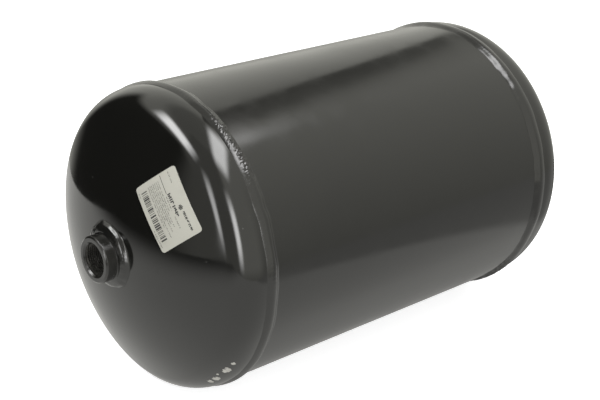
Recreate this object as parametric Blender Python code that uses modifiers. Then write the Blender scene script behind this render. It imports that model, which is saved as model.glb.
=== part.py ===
"""Compressed-air reservoir: a rolled and seam-welded steel shell closed by two dished heads.

+Y runs along the tank from its front head to its rear head and +Z is up. The origin is on the lowest
line of the shell, at the middle of its length. Lengths are in metres. An end of the tank is drawn in
its own end frame: r is the distance from the tank's axis, and z runs outwards from the toe of the
girth weld on the shell.
"""

import math

import bmesh
import bpy
from mathutils import Matrix, Vector

MM = 0.001

# Driving dimensions
SHELL_RADIUS = 103 * MM
WALL = 3 * MM
TOE_TO_TOE = 247 * MM  # shell between the toes of the two girth welds
GAP = 0.3 * MM  # clearance left between touching pieces

# Dished heads
HEAD_RADIUS = 103.4 * MM
CROWN_RADIUS = 180 * MM
KNUCKLE_RADIUS = 25 * MM
FRONT_LAND = 0.2 * MM  # straight skirt between the girth weld and the knuckle
REAR_LAND = 2.5 * MM
LIP_LENGTH = 10 * MM  # joggled lip inside the shell
LIP_RADIUS = SHELL_RADIUS - WALL - 0.4 * MM

# Girth welds
FRONT_BEAD = 10 * MM
REAR_BEAD = 11.5 * MM
BEAD_CROWN = 1.6 * MM
SHELL_TUCK = 4 * MM  # shell end under the bead, measured from the toe
ROOT_GAP = 1.6 * MM
BEVEL = 1.8 * MM
TOE_THICKNESS = 0.15 * MM

# Longitudinal seam
SEAM_ANGLE = math.radians(120)  # from +X towards +Z
SLIT_WIDTH = 2.2 * MM
SEAM_WIDTH = 7.5 * MM
SEAM_CROWN = 0.9 * MM

# Threaded ports, M22 x 1.5
PORT_RADIUS = 11 * MM
PORT_MOUTH = 12 * MM
PORT_CHAMFER = 1.2 * MM
BOSS_RADIUS = 15.8 * MM
BOSS_LENGTH = 24 * MM
BOSS_EDGE = 1.1 * MM
HEAD_BOSS_PROUD = 11.4 * MM
DRAIN_BOSS_PROUD = 13 * MM
DRAIN_Y = 0.0
PORT_HOLE = BOSS_RADIUS + 0.35 * MM
PORT_WELD_RADIUS = 22.6 * MM
PORT_WELD_HEIGHT = 4.2 * MM

# Label on the front head, and rating plate beside the drain port
LABEL_SIZE = (44.9 * MM, 34.3 * MM)
LABEL_DISTANCE = 65.5 * MM  # from the tank's axis to the label's centre
LABEL_ANGLE = math.radians(40.9)
LABEL_TILT = math.radians(-2.2)
LABEL_CORNER = 2 * MM
PLATE_SIZE = (62 * MM, 40 * MM)
PLATE_Y = -76 * MM
PLATE_CORNER = 3 * MM
SHEET = 0.4 * MM

ROUND_STEPS = 64
PORT_STEPS = 32
CROWN_STEPS = 5
KNUCKLE_STEPS = 5
INNER_STEPS = 3
BEAD_STEPS = 4

# Worked out from the dimensions above
AXIS_Z = SHELL_RADIUS
CROWN_END = math.asin((HEAD_RADIUS - KNUCKLE_RADIUS) / (CROWN_RADIUS - KNUCKLE_RADIUS))
DOME_HEIGHT = CROWN_RADIUS - (CROWN_RADIUS - KNUCKLE_RADIUS) * math.cos(CROWN_END)
FRONT_APEX = FRONT_BEAD + FRONT_LAND + DOME_HEIGHT
REAR_APEX = REAR_BEAD + REAR_LAND + DOME_HEIGHT
FRONT_FRAME = Matrix.Translation((0, -TOE_TO_TOE / 2, AXIS_Z)) @ Matrix.Rotation(math.pi / 2, 4, "X")
REAR_FRAME = Matrix.Translation((0, TOE_TO_TOE / 2, AXIS_Z)) @ Matrix.Rotation(-math.pi / 2, 4, "X")
SHELL_FRAME = Matrix.Translation((0, 0, AXIS_Z)) @ Matrix.Rotation(-math.pi / 2, 4, "X")
DRAIN_FRAME = Matrix.Translation((0, DRAIN_Y, AXIS_Z)) @ Matrix.Rotation(-math.pi / 2, 4, "Y")


def clear_scene():
    for obj in list(bpy.data.objects):
        bpy.data.objects.remove(obj, do_unlink=True)


def new_collection(name):
    collection = bpy.data.collections.new(name)
    bpy.context.scene.collection.children.link(collection)
    return collection


def new_material(name, colour, roughness, metallic=0.0):
    material = bpy.data.materials.new(name)
    material.use_nodes = True
    shader = material.node_tree.nodes["Principled BSDF"]
    shader.inputs["Base Color"].default_value = (*colour, 1)
    shader.inputs["Roughness"].default_value = roughness
    shader.inputs["Metallic"].default_value = metallic
    material.diffuse_color = (*colour, 1)
    return material


def add_object(name, bm, collection, matrix, material=None):
    mesh = bpy.data.meshes.new(name)
    bm.to_mesh(mesh)
    bm.free()
    if material:
        mesh.materials.append(material)
    obj = bpy.data.objects.new(name, mesh)
    obj.matrix_world = matrix
    collection.objects.link(obj)
    return obj


def turned(name, profile, steps, collection, matrix, material=None):
    """A closed (r, z) outline, listed down its outer side and back up its inner side, turned round z."""
    bm = bmesh.new()
    corners = [bm.verts.new((r, 0, z)) for r, z in profile]
    for start, end in zip(corners, corners[1:] + corners[:1]):
        bm.edges.new((start, end))
    obj = add_object(name, bm, collection, matrix, material)
    screw = obj.modifiers.new("Turn", "SCREW")
    screw.axis = "Z"
    screw.angle = math.tau
    screw.steps = steps
    screw.render_steps = steps
    screw.use_merge_vertices = True
    screw.merge_threshold = 0.00001
    screw.use_smooth_shade = True
    return obj


def arc(centre, radius, start, end, steps):
    """Points of an arc in (r, z), with angles measured from +z towards +r."""
    angles = [start + (end - start) * i / steps for i in range(steps + 1)]
    return [(centre[0] + radius * math.sin(a), centre[1] + radius * math.cos(a)) for a in angles]


def bulge(start, end, height, steps):
    """Points from start to end along a low parabola that rises by height to the left of the way."""
    along = Vector(end) - Vector(start)
    rise = Vector((-along.y, along.x)).normalized() * height
    points = []
    for i in range(steps + 1):
        t = i / steps
        points.append(tuple(Vector(start) + along * t + rise * 4 * t * (1 - t)))
    return points


def hide_cutter(obj):
    obj.hide_render = True
    obj.display_type = "WIRE"


def cut(obj, cutter):
    boolean = obj.modifiers.new("Cut " + cutter.name, "BOOLEAN")
    boolean.operation = "DIFFERENCE"
    boolean.solver = "EXACT"
    boolean.object = cutter


def cylinder_cutter(name, radius, low, high, steps, collection, matrix):
    bm = bmesh.new()
    bmesh.ops.create_cone(
        bm, cap_ends=True, segments=steps, radius1=radius, radius2=radius, depth=high - low
    )
    bmesh.ops.translate(bm, verts=bm.verts, vec=(0, 0, (low + high) / 2))
    cutter = add_object(name, bm, collection, matrix)
    hide_cutter(cutter)
    return cutter


def box_cutter(name, low, high, collection, matrix):
    bm = bmesh.new()
    bmesh.ops.create_cube(bm, size=1)
    size = Vector(high) - Vector(low)
    bmesh.ops.scale(bm, verts=bm.verts, vec=size)
    bmesh.ops.translate(bm, verts=bm.verts, vec=(Vector(high) + Vector(low)) / 2)
    cutter = add_object(name, bm, collection, matrix)
    hide_cutter(cutter)
    return cutter


def make_shell(parts, cutters, material):
    """The rolled tube: both ends bevelled for welding, slit along its seam, and drilled for the drain port."""
    half = TOE_TO_TOE / 2 + SHELL_TUCK
    inner = SHELL_RADIUS - WALL
    profile = [
        (SHELL_RADIUS - BEVEL, half),
        (SHELL_RADIUS, half - BEVEL),
        (SHELL_RADIUS, -half + BEVEL),
        (SHELL_RADIUS - BEVEL, -half),
        (inner, -half),
        (inner, half),
    ]
    shell = turned("shell", profile, ROUND_STEPS, parts, SHELL_FRAME, material)
    slit = box_cutter(
        "seam_slit_cutter",
        (SHELL_RADIUS - 2 * WALL, -half * 1.1, -SLIT_WIDTH / 2),
        (SHELL_RADIUS + WALL, half * 1.1, SLIT_WIDTH / 2),
        cutters,
        Matrix.Translation((0, 0, AXIS_Z)) @ Matrix.Rotation(-SEAM_ANGLE, 4, "Y"),
    )
    hole = cylinder_cutter(
        "drain_hole_cutter",
        PORT_HOLE,
        SHELL_RADIUS - 5 * WALL,
        SHELL_RADIUS + WALL,
        PORT_STEPS,
        cutters,
        DRAIN_FRAME,
    )
    cut(shell, slit)
    cut(shell, hole)


def make_seam_weld(parts, material):
    """The longitudinal weld: a root that fills the slit and a low crown over both of its edges."""
    root = SLIT_WIDTH / 2 - GAP
    bottom = SHELL_RADIUS - WALL + GAP
    edge = SEAM_WIDTH / 2
    edge_under = math.sqrt(SHELL_RADIUS**2 - edge**2) + GAP
    toe = edge_under + TOE_THICKNESS
    section = bulge((-edge, toe), (edge, toe), SEAM_CROWN, BEAD_STEPS)
    section += [(edge, edge_under), (root, SHELL_RADIUS + GAP), (root, bottom)]
    section += [(-root, bottom), (-root, SHELL_RADIUS + GAP), (-edge, edge_under)]
    bm = bmesh.new()
    half = TOE_TO_TOE / 2 - GAP
    corners = [bm.verts.new((r, -half, -side)) for side, r in section]
    face = bm.faces.new(corners)
    extruded = bmesh.ops.extrude_face_region(bm, geom=[face])
    moved = [item for item in extruded["geom"] if isinstance(item, bmesh.types.BMVert)]
    bmesh.ops.translate(bm, verts=moved, vec=(0, 2 * half, 0))
    bmesh.ops.recalc_face_normals(bm, faces=bm.faces)
    frame = Matrix.Translation((0, 0, AXIS_Z)) @ Matrix.Rotation(-SEAM_ANGLE, 4, "Y")
    add_object("shell_seam_weld", bm, parts, frame, material)


def head_skin(offset, tangent_z, crown_steps, knuckle_steps):
    """Crown and knuckle of a head, from its port hole down to its skirt, offset inwards."""
    crown_centre = (0, tangent_z + DOME_HEIGHT - CROWN_RADIUS)
    crown = CROWN_RADIUS - offset
    points = arc(crown_centre, crown, math.asin(PORT_HOLE / crown), CROWN_END, crown_steps)
    knuckle_centre = (HEAD_RADIUS - KNUCKLE_RADIUS, tangent_z)
    points += arc(knuckle_centre, KNUCKLE_RADIUS - offset, CROWN_END, math.pi / 2, knuckle_steps)[1:]
    return points


def make_head(name, bead, land, parts, frame, material):
    """A torispherical head with a bevelled skirt and a joggled lip that slides into the shell."""
    tangent = bead + land
    shoulder = SHELL_TUCK + ROOT_GAP
    profile = head_skin(0, tangent, CROWN_STEPS, KNUCKLE_STEPS)
    profile += [
        (HEAD_RADIUS, shoulder + BEVEL),
        (HEAD_RADIUS - BEVEL, shoulder),
        (LIP_RADIUS, shoulder),
        (LIP_RADIUS, -LIP_LENGTH),
        (LIP_RADIUS - WALL, -LIP_LENGTH),
        (LIP_RADIUS - WALL, shoulder),
    ]
    profile += head_skin(WALL, tangent, INNER_STEPS, INNER_STEPS)[::-1]
    return turned(name, profile, ROUND_STEPS, parts, frame, material)


def make_girth_weld(name, bead, parts, frame, material):
    """The weld that joins a head to the shell: it fills their groove and stands proud as a low crown."""
    corner = GAP * math.tan(math.pi / 8)
    shoulder = SHELL_TUCK + ROOT_GAP
    head_toe = HEAD_RADIUS + GAP
    shell_toe = SHELL_RADIUS + GAP
    profile = bulge(
        (head_toe + TOE_THICKNESS, bead),
        (shell_toe + TOE_THICKNESS, 0),
        BEAD_CROWN,
        BEAD_STEPS,
    )
    profile += [
        (shell_toe, 0),
        (shell_toe, SHELL_TUCK - BEVEL + corner),
        (SHELL_RADIUS - BEVEL + corner, SHELL_TUCK + GAP),
        (LIP_RADIUS + GAP, SHELL_TUCK + GAP),
        (LIP_RADIUS + GAP, shoulder - GAP),
        (HEAD_RADIUS - BEVEL + corner, shoulder - GAP),
        (head_toe, shoulder + BEVEL - corner),
        (head_toe, bead),
    ]
    turned(name, profile, ROUND_STEPS, parts, frame, material)


def make_boss(name, face_z, parts, frame, material):
    """A threaded port boss: a plain bore at the thread's major diameter, chamfered at its mouth."""
    back_z = face_z - BOSS_LENGTH
    profile = [(PORT_MOUTH, face_z)]
    profile += arc((BOSS_RADIUS - BOSS_EDGE, face_z - BOSS_EDGE), BOSS_EDGE, 0, math.pi / 2, 3)
    profile += [
        (BOSS_RADIUS, back_z + BOSS_EDGE),
        (BOSS_RADIUS - BOSS_EDGE, back_z),
        (PORT_RADIUS, back_z),
        (PORT_RADIUS, face_z - PORT_CHAMFER),
    ]
    turned(name, profile, PORT_STEPS, parts, frame, material)


def port_weld_top(surface_z):
    """Outer side of a port's fillet weld, from its toe on the boss to its shoulder over the plate."""
    inner = PORT_HOLE
    return [
        (inner, surface_z + PORT_WELD_HEIGHT - 0.2 * MM),
        (inner + 0.9 * MM, surface_z + PORT_WELD_HEIGHT),
        (PORT_WELD_RADIUS - 2.3 * MM, surface_z + 2.2 * MM),
        (PORT_WELD_RADIUS - 0.6 * MM, surface_z + 1.2 * MM),
        (PORT_WELD_RADIUS, surface_z),
    ]


def make_head_port_weld(name, apex_z, parts, frame, material):
    profile = port_weld_top(apex_z)
    for r in (PORT_WELD_RADIUS, (PORT_WELD_RADIUS + PORT_HOLE) / 2, PORT_HOLE):
        drop = CROWN_RADIUS - math.sqrt(CROWN_RADIUS**2 - r**2)
        profile.append((r, apex_z - drop + GAP))
    turned(name, profile, PORT_STEPS, parts, frame, material)


def make_drain_port_weld(parts, cutters, material):
    """The drain port's weld, whose underside is cut to sit on the round shell."""
    profile = port_weld_top(SHELL_RADIUS)
    profile += [(PORT_WELD_RADIUS, SHELL_RADIUS - 2 * WALL), (PORT_HOLE, SHELL_RADIUS - 2 * WALL)]
    weld = turned("drain_port_weld", profile, PORT_STEPS, parts, DRAIN_FRAME, material)
    # The cutter has the shell's own facets, set out by the clearance.
    reach = PORT_WELD_RADIUS * 2
    seat = cylinder_cutter(
        "drain_seat_cutter", SHELL_RADIUS + GAP, -reach, reach, ROUND_STEPS, cutters, SHELL_FRAME
    )
    cut(weld, seat)


def sheet_on(name, size, corner, place, parts, material):
    """A thin sheet with rounded corners: place(u, v) gives the point under each of its corners."""
    bm = bmesh.new()
    bmesh.ops.create_grid(bm, x_segments=8, y_segments=6, size=0.5)
    corners = []
    for vertex in bm.verts:
        if abs(vertex.co.x) > 0.49 and abs(vertex.co.y) > 0.49:
            corners.append(vertex.index)
        vertex.co = place(vertex.co.x * size[0], vertex.co.y * size[1])
    obj = add_object(name, bm, parts, Matrix(), material)
    obj.vertex_groups.new(name="Corners").add(corners, 1.0, "REPLACE")
    bevel = obj.modifiers.new("Round corners", "BEVEL")
    bevel.affect = "VERTICES"
    bevel.limit_method = "VGROUP"
    bevel.vertex_group = "Corners"
    bevel.width = corner
    bevel.segments = 3
    solidify = obj.modifiers.new("Thickness", "SOLIDIFY")
    solidify.thickness = SHEET
    solidify.offset = 1
    return obj


def make_label(parts, material):
    """The paper label, which lies on the front head's crown with its top edge outwards."""
    centre = Vector((0, -TOE_TO_TOE / 2 - FRONT_APEX + CROWN_RADIUS, AXIS_Z))
    slope = math.asin(LABEL_DISTANCE / CROWN_RADIUS)
    outwards = Vector((math.cos(LABEL_ANGLE), 0, math.sin(LABEL_ANGLE)))
    across = Vector((math.sin(LABEL_ANGLE), 0, -math.cos(LABEL_ANGLE)))
    normal = outwards * math.sin(slope) + Vector((0, -math.cos(slope), 0))
    up = outwards * math.cos(slope) + Vector((0, math.sin(slope), 0))
    turn = Matrix.Rotation(LABEL_TILT, 3, normal)
    across, up = turn @ across, turn @ up

    def place(u, v):
        direction = (normal * CROWN_RADIUS + across * u + up * v).normalized()
        return centre + direction * (CROWN_RADIUS + GAP)

    sheet_on("product_label", LABEL_SIZE, LABEL_CORNER, place, parts, material)


def make_rating_plate(parts, material):
    """The rating plate, bent round the shell on the side of the drain port."""
    radius = SHELL_RADIUS + GAP

    def place(u, v):
        angle = math.pi - v / radius
        return Vector((radius * math.cos(angle), PLATE_Y - u, AXIS_Z + radius * math.sin(angle)))

    sheet_on("rating_plate", PLATE_SIZE, PLATE_CORNER, place, parts, material)


def main():
    clear_scene()
    parts = new_collection("compressed_air_reservoir")
    cutters = new_collection("cutters")
    paint = new_material("gloss_black_paint", (0.012, 0.012, 0.011), 0.12)
    weld_paint = new_material("painted_weld", (0.016, 0.016, 0.015), 0.22)
    boss_paint = new_material("painted_boss", (0.014, 0.014, 0.013), 0.2)
    paper = new_material("label_paper", (0.62, 0.61, 0.55), 0.6)
    plate_metal = new_material("plate_aluminium", (0.55, 0.56, 0.57), 0.35, 0.9)

    make_shell(parts, cutters, paint)
    make_seam_weld(parts, weld_paint)
    ends = (
        ("front", FRONT_BEAD, FRONT_LAND, FRONT_APEX, FRONT_FRAME),
        ("rear", REAR_BEAD, REAR_LAND, REAR_APEX, REAR_FRAME),
    )
    for end, bead, land, apex, frame in ends:
        make_head(end + "_head", bead, land, parts, frame, paint)
        make_girth_weld(end + "_girth_weld", bead, parts, frame, weld_paint)
        make_boss(end + "_port_boss", apex + HEAD_BOSS_PROUD, parts, frame, boss_paint)
        make_head_port_weld(end + "_port_weld", apex, parts, frame, weld_paint)
    make_boss("drain_port_boss", SHELL_RADIUS + DRAIN_BOSS_PROUD, parts, DRAIN_FRAME, boss_paint)
    make_drain_port_weld(parts, cutters, weld_paint)
    make_label(parts, paper)
    make_rating_plate(parts, plate_metal)


main()
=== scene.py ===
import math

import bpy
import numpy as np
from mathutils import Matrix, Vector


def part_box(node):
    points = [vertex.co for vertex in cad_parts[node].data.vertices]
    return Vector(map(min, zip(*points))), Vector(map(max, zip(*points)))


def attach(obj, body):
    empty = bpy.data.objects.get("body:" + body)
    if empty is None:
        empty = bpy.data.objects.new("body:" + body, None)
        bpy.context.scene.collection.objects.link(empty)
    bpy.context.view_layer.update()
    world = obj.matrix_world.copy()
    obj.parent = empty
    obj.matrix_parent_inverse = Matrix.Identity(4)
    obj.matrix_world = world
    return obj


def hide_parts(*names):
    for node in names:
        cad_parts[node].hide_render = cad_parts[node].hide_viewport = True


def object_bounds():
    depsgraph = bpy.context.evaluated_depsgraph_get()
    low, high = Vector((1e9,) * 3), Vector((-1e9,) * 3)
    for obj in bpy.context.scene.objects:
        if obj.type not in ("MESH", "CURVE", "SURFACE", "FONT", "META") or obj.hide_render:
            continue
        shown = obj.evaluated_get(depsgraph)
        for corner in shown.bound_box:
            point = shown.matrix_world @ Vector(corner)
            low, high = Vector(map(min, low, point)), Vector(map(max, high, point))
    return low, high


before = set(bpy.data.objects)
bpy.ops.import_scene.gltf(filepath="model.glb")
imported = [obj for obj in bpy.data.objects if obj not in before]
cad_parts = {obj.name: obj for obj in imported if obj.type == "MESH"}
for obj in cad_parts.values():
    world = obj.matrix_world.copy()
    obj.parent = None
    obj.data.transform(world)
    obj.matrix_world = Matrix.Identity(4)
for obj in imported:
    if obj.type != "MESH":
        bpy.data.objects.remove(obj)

# Looks of a compressed-air reservoir: gloss black paint over rolled steel, two dished heads, their
# girth welds, three welded ports, a paper label and a rating plate. Lengths are in metres.
#
# An end of the tank is drawn in its own end frame: r is the distance from the tank's axis, and z runs
# outwards from the toe of the girth weld on the shell. Angles round the tank run from +X towards +Z,
# but in the rear end's frame, which faces the other way, they run from +X towards -Z.

cad_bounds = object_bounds()

MM = 0.001
ROOT = "root"

# Shell and heads
SHELL_RADIUS = 103 * MM
WALL = 3 * MM
HEAD_RADIUS = 103.4 * MM
CROWN_RADIUS = 180 * MM
KNUCKLE_RADIUS = 25 * MM
FRONT_LAND = 0.2 * MM  # straight part of each head, between its knuckle and its weld
REAR_LAND = 2.5 * MM
LIP_LENGTH = 10 * MM  # the joggled lip that goes inside the shell
LIP_RADIUS = 99.6 * MM
SHELL_TUCK = 4 * MM  # how far the shell runs on under a girth weld, and the gap beyond its end
ROOT_GAP = 1.6 * MM
BEVEL = 1.8 * MM
SHELL_WAVE = 0.03 * MM  # height of the shell's unevenness, and of the heads'
HEAD_WAVE = 0.035 * MM
DRAW_IN = 0.12 * MM  # how far a girth weld pulls the shell in as it cools
DRAW_REACH = 11 * MM
SHELL_SIDES = 256  # how finely the round pieces are drawn
HEAD_SIDES = 288
BEAD_SIDES = 1280
BOSS_SIDES = 128

# Welds
FRONT_BEAD = 10 * MM  # width of each girth weld
REAR_BEAD = 11.5 * MM
BEAD_CROWN = 1.9 * MM
BEAD_LIMIT = 105.2 * MM  # no grain of a girth weld stands further from the axis
BEAD_RIPPLE = 2.9 * MM  # pitch of the crescent ripples
CRUST_AT = 51  # middle and reach of a girth weld's rough stretch, in degrees in its end frame
CRUST_REACH = 14
CRUST_GRAIN = 1.4 * MM
CRUST_HEIGHT = 0.25 * MM
WELD_DEPTH = 1.2 * MM  # how far a weld's underside lies below the plate
CHIPS = (  # radius, angle, distance beyond the front weld's toe and size of each, in mm and degrees
    (100.3, -40.1, 22, 3.4),
    (99.7, -48.1, 23, 3.0),
    (99.2, -51.5, 23.5, 2.4),
    (100.8, -34.8, 21, 1.8),
    (98.9, -44.0, 25, 1.2),
)
SEAM_ANGLE = math.radians(120)
SEAM_WIDTH = 7.5 * MM
SEAM_CROWN = 0.8 * MM
SEAM_RIPPLE = 2.3 * MM

# Ports, threaded M22 x 1.5
PORT_RADIUS = 11 * MM
PORT_MOUTH = 12 * MM
PORT_CHAMFER = 1.2 * MM
PORT_HOLE = 16.15 * MM
THREAD_PITCH = 1.5 * MM
THREAD_CREST = 10.2 * MM
BOSS_RADIUS = 15.8 * MM
BOSS_LENGTH = 24 * MM
BOSS_EDGE = 1.1 * MM
HEAD_BOSS_PROUD = 11.4 * MM
DRAIN_BOSS_PROUD = 13 * MM
PORT_WELD_RADIUS = 22.3 * MM
PORT_WELD_SECTION = (  # radius and height above the plate in mm, from the boss to the outer toe
    (15.7, 4.3),
    (16.3, 3.9),
    (17.1, 3.95),
    (18.3, 3.6),
    (19.5, 3.1),
    (20.6, 2.4),
    (22, 0.6),
)
PORT_RIPPLE = 2.6 * MM
SPUR_AT = 112  # where round a port its weld runs out furthest, in degrees, and by how much
SPUR_REACH = 16
SPUR = 1.3 * MM

# Label and rating plate
LABEL_SIZE = (44.9 * MM, 34.3 * MM)
LABEL_DISTANCE = 65.5 * MM
LABEL_ANGLE = math.radians(40.9)
LABEL_TILT = math.radians(-2.2)
LABEL_CORNER = 2 * MM
PAPER = 0.14 * MM
PLATE_SIZE = (62 * MM, 40 * MM)
PLATE_Y = -76 * MM
PLATE_CORNER = 3 * MM
FOIL = 0.2 * MM
INK = 0.02 * MM
STUCK_ON = 0.09 * MM  # keeps a sheet clear of the unevenness of the steel under it

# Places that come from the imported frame, and what follows from the sizes
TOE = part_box("front_girth_weld")[1][1]
REAR_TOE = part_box("rear_girth_weld")[0][1]
AXIS_Z = (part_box("shell")[0][2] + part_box("shell")[1][2]) / 2
FLOOR_Z = cad_bounds[0][2]
CROWN_END = math.asin((HEAD_RADIUS - KNUCKLE_RADIUS) / (CROWN_RADIUS - KNUCKLE_RADIUS))
DOME_HEIGHT = CROWN_RADIUS - (CROWN_RADIUS - KNUCKLE_RADIUS) * math.cos(CROWN_END)
FRONT_APEX = FRONT_BEAD + FRONT_LAND + DOME_HEIGHT
REAR_APEX = REAR_BEAD + REAR_LAND + DOME_HEIGHT
FRONT_FRAME = Matrix.Translation((0, TOE, AXIS_Z)) @ Matrix.Rotation(math.pi / 2, 4, "X")
REAR_FRAME = Matrix.Translation((0, REAR_TOE, AXIS_Z)) @ Matrix.Rotation(-math.pi / 2, 4, "X")
SHELL_FRAME = Matrix.Translation((0, 0, AXIS_Z)) @ Matrix.Rotation(math.pi / 2, 4, "X")
DRAIN_FRAME = Matrix.Translation((0, 0, AXIS_Z)) @ Matrix.Rotation(-math.pi / 2, 4, "Y")

# Viewpoint and lights: azimuth 0 looks along +Y, and 90 along -X
CAMERA_AT = Vector((0.6487, -0.5897, 0.4273))
CAMERA_AZIMUTH = math.radians(48.47)
CAMERA_ELEVATION = math.radians(20.69)
CAMERA_LENS = 76.72  # in millimetres, and so is the width of its sensor
CAMERA_SENSOR = 36
TENT_LOW = 0.44  # brightness of the tent near the floor, at the top of its walls, and of its ceiling
TENT_HIGH = 0.88
TENT_TOP = 0.5
TENT_TINT = (1.0, 0.995, 0.91)
TENT_WALLS = (  # azimuth, half width, lower and upper elevation, softness, brightness
    (-97, 33, -16, 50, 14, 0.88),
    (28, 14, -20, 44, 10, 0.75),
    (64, 25, 2, 46, 12, 1.0),
    (-157, 33, -90, 72, 7, 0.38),
    (126, 42, -90, 36, 10, 0.02),
)
TENT_GAP = (  # direction of its start and of its end, dark core and faded reach at each, in degrees
    (22, 57.5),
    (38, 22),
    (12, 0.5),
    (19, 8),
)
GAP_LEVEL = 0.22
UPPER_KNUCKLE = (0.03, -0.165, 0.17)  # what the softboxes face
SIDE_KNUCKLE = (0.09, -0.15, 0.12)
SHELL_TOP = (0.06, -0.14, 0.19)
SOFTBOXES = (  # name, azimuth, elevation, aim, distance, size, radiance, faded share, turn
    ("upper_softbox", 153, 50, UPPER_KNUCKLE, 1.2, (1.15, 0.48), 8.5, 0.36, -8),
    ("front_strip", -168, 15, SIDE_KNUCKLE, 1.2, (0.34, 1.25), 4.6, 0.42, 0),
    ("overhead_softbox", -58, 68.5, SHELL_TOP, 1.2, (1.54, 0.6), 6.2, 0.32, 2),
    ("side_strip", -123, 14, SIDE_KNUCKLE, 1.25, (0.4, 1.5), 6.8, 0.42, 0),
)
FLOOR_REACH = 4.0
FLOOR_GLOW = 0.8
TABLE_LOW = (-0.60, -0.70)
TABLE_HIGH = (0.42, 0.62)
TABLE_GLOW = 0.76

# Looks: a pair of tones is the darker and the lighter end of one colour
PAINT_IOR = 1.7
PAINT_TONES = (0.0045, 0.0045, 0.0040), (0.0065, 0.0065, 0.0058)
DUST_TONE = (0.045, 0.043, 0.038)
PRIMER_TONES = (0.30, 0.29, 0.27), (0.62, 0.61, 0.58)
WELD_TONES = (0.0055, 0.0055, 0.005), (0.010, 0.0098, 0.009)
BOSS_TONES = (0.006, 0.006, 0.0055), (0.013, 0.0125, 0.0115)
SCUFF_TONE = (0.09, 0.088, 0.082)
THREAD_TONES = (0.035, 0.034, 0.031), (0.075, 0.073, 0.067)
PAPER_TONES = (0.44, 0.435, 0.39), (0.50, 0.495, 0.45)
GRIME_TONE = (0.38, 0.37, 0.33)
INK_TONES = (0.02, 0.02, 0.02), (0.05, 0.049, 0.047)
FOIL_TONES = (0.50, 0.505, 0.51), (0.66, 0.665, 0.67)
FLOOR_TONES = (0.87, 0.875, 0.92), (0.89, 0.895, 0.94)


# ---------------------------------------------------------------- meshes


def grid_faces(rows, columns, close_rows=False, close_columns=False):
    """Quads between neighbouring points of a grid numbered row by row."""
    last_row = rows if close_rows else rows - 1
    last_column = columns if close_columns else columns - 1
    i, j = np.meshgrid(np.arange(last_row), np.arange(last_column), indexing="ij")
    here, below = i * columns, (i + 1) % rows * columns
    beside = (j + 1) % columns
    return np.stack([here + j, below + j, below + beside, here + beside], axis=-1).reshape(-1, 4)


def merged(meshes):
    """One (points, faces) from several."""
    points, faces, count = [], [], 0
    for more_points, more_faces in meshes:
        points.append(more_points)
        faces.append(more_faces + count)
        count += len(more_points)
    return np.concatenate(points), np.concatenate(faces)


def placed(points, matrix):
    """The points, moved by a matrix."""
    matrix = np.array(matrix)
    return points @ matrix[:3, :3].T + matrix[:3, 3]


def new_object(name, points, faces, material, sharp=40):
    """A smooth object whose edges are sharp above an angle in degrees."""
    mesh = bpy.data.meshes.new(name)
    mesh.from_pydata(points.tolist(), [], faces.tolist())
    mesh.validate()
    mesh.shade_smooth()
    mesh.set_sharp_from_angle(angle=math.radians(sharp))
    mesh.materials.append(material)
    obj = bpy.data.objects.new(name, mesh)
    bpy.context.scene.collection.objects.link(obj)
    return obj


def piece(name, points, faces, material, slot, *nodes, sharp=40):
    """A finished piece of the tank, which stands for the named CAD nodes if there are any."""
    obj = new_object(name, points, faces, material, sharp)
    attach(obj, ROOT)
    if nodes:
        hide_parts(*nodes)
    return obj


def uneven(points, wavelength, seed):
    """A smooth random height at each point, mostly between -2 and 2, from waves in every direction."""
    count = 28
    rng = np.random.default_rng(seed)
    waves = rng.normal(size=(count, 3))
    waves /= np.linalg.norm(waves, axis=1)[:, None]
    waves *= math.tau / (wavelength * rng.uniform(0.7, 1.6, (count, 1)))
    phases = rng.uniform(0, math.tau, count)
    return np.sin(points @ waves.T + phases).sum(axis=-1) / math.sqrt(count / 2)


def smoothstep(value, low, high):
    """0 up to low, 1 from high on, and a smooth rise between them."""
    t = np.clip((value - low) / (high - low), 0, 1)
    return t * t * (3 - 2 * t)


def arc(centre, radius, start, end, steps):
    """Points of an arc in (r, z), with angles measured from +z towards +r."""
    angles = np.linspace(start, end, steps + 1)
    return [(centre[0] + radius * math.sin(a), centre[1] + radius * math.cos(a)) for a in angles]


def line(start, end, steps):
    """Points of a straight run, without its last one."""
    return [tuple(np.array(start) + (np.array(end) - start) * i / steps) for i in range(steps)]


def on_axis(r, z, angle):
    """Cartesian points from a radius, a height and an angle round z."""
    return np.stack([r * np.cos(angle), r * np.sin(angle), z], axis=-1)


def turned(outline, steps, shape=None):
    """A closed (r, z) outline, listed down its outer side and back up its inner side, turned round z.

    shape(r, z, angle) may move the points.
    """
    outline = np.array(outline)
    angle = np.arange(steps) / steps * math.tau
    r, angle = np.meshgrid(outline[:, 0], angle, indexing="ij")
    z = np.repeat(outline[:, 1:], steps, axis=1)
    if shape:
        r, z = shape(r, z, angle)
    faces = grid_faces(len(outline), steps, close_rows=True, close_columns=True)
    return on_axis(r, z, angle).reshape(-1, 3), faces


def slab(top, bottom):
    """A closed sheet between two grids of points."""
    rows, columns = top.shape[:2]
    upper = grid_faces(rows, columns)
    lower = upper[:, ::-1] + rows * columns
    row, column = np.arange(rows), np.arange(columns)
    rim = np.concatenate(
        [
            column[:-1],
            row[:-1] * columns + columns - 1,
            (rows - 1) * columns + column[:0:-1],
            row[:0:-1] * columns,
        ]
    )
    after = np.roll(rim, -1)
    sides = np.stack([rim, after, after + rows * columns, rim + rows * columns], axis=-1)
    faces = np.concatenate([upper, lower, sides])
    points = np.concatenate([top.reshape(-1, 3), bottom.reshape(-1, 3)])
    a, b, c, d = (points[faces[:, i]] for i in range(4))
    volume = np.einsum("ij,ij->", np.cross(a, b), c) + np.einsum("ij,ij->", np.cross(a, c), d)
    if volume < 0:
        faces = faces[:, ::-1]
    return points, faces


# ---------------------------------------------------------------- shell and heads


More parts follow.
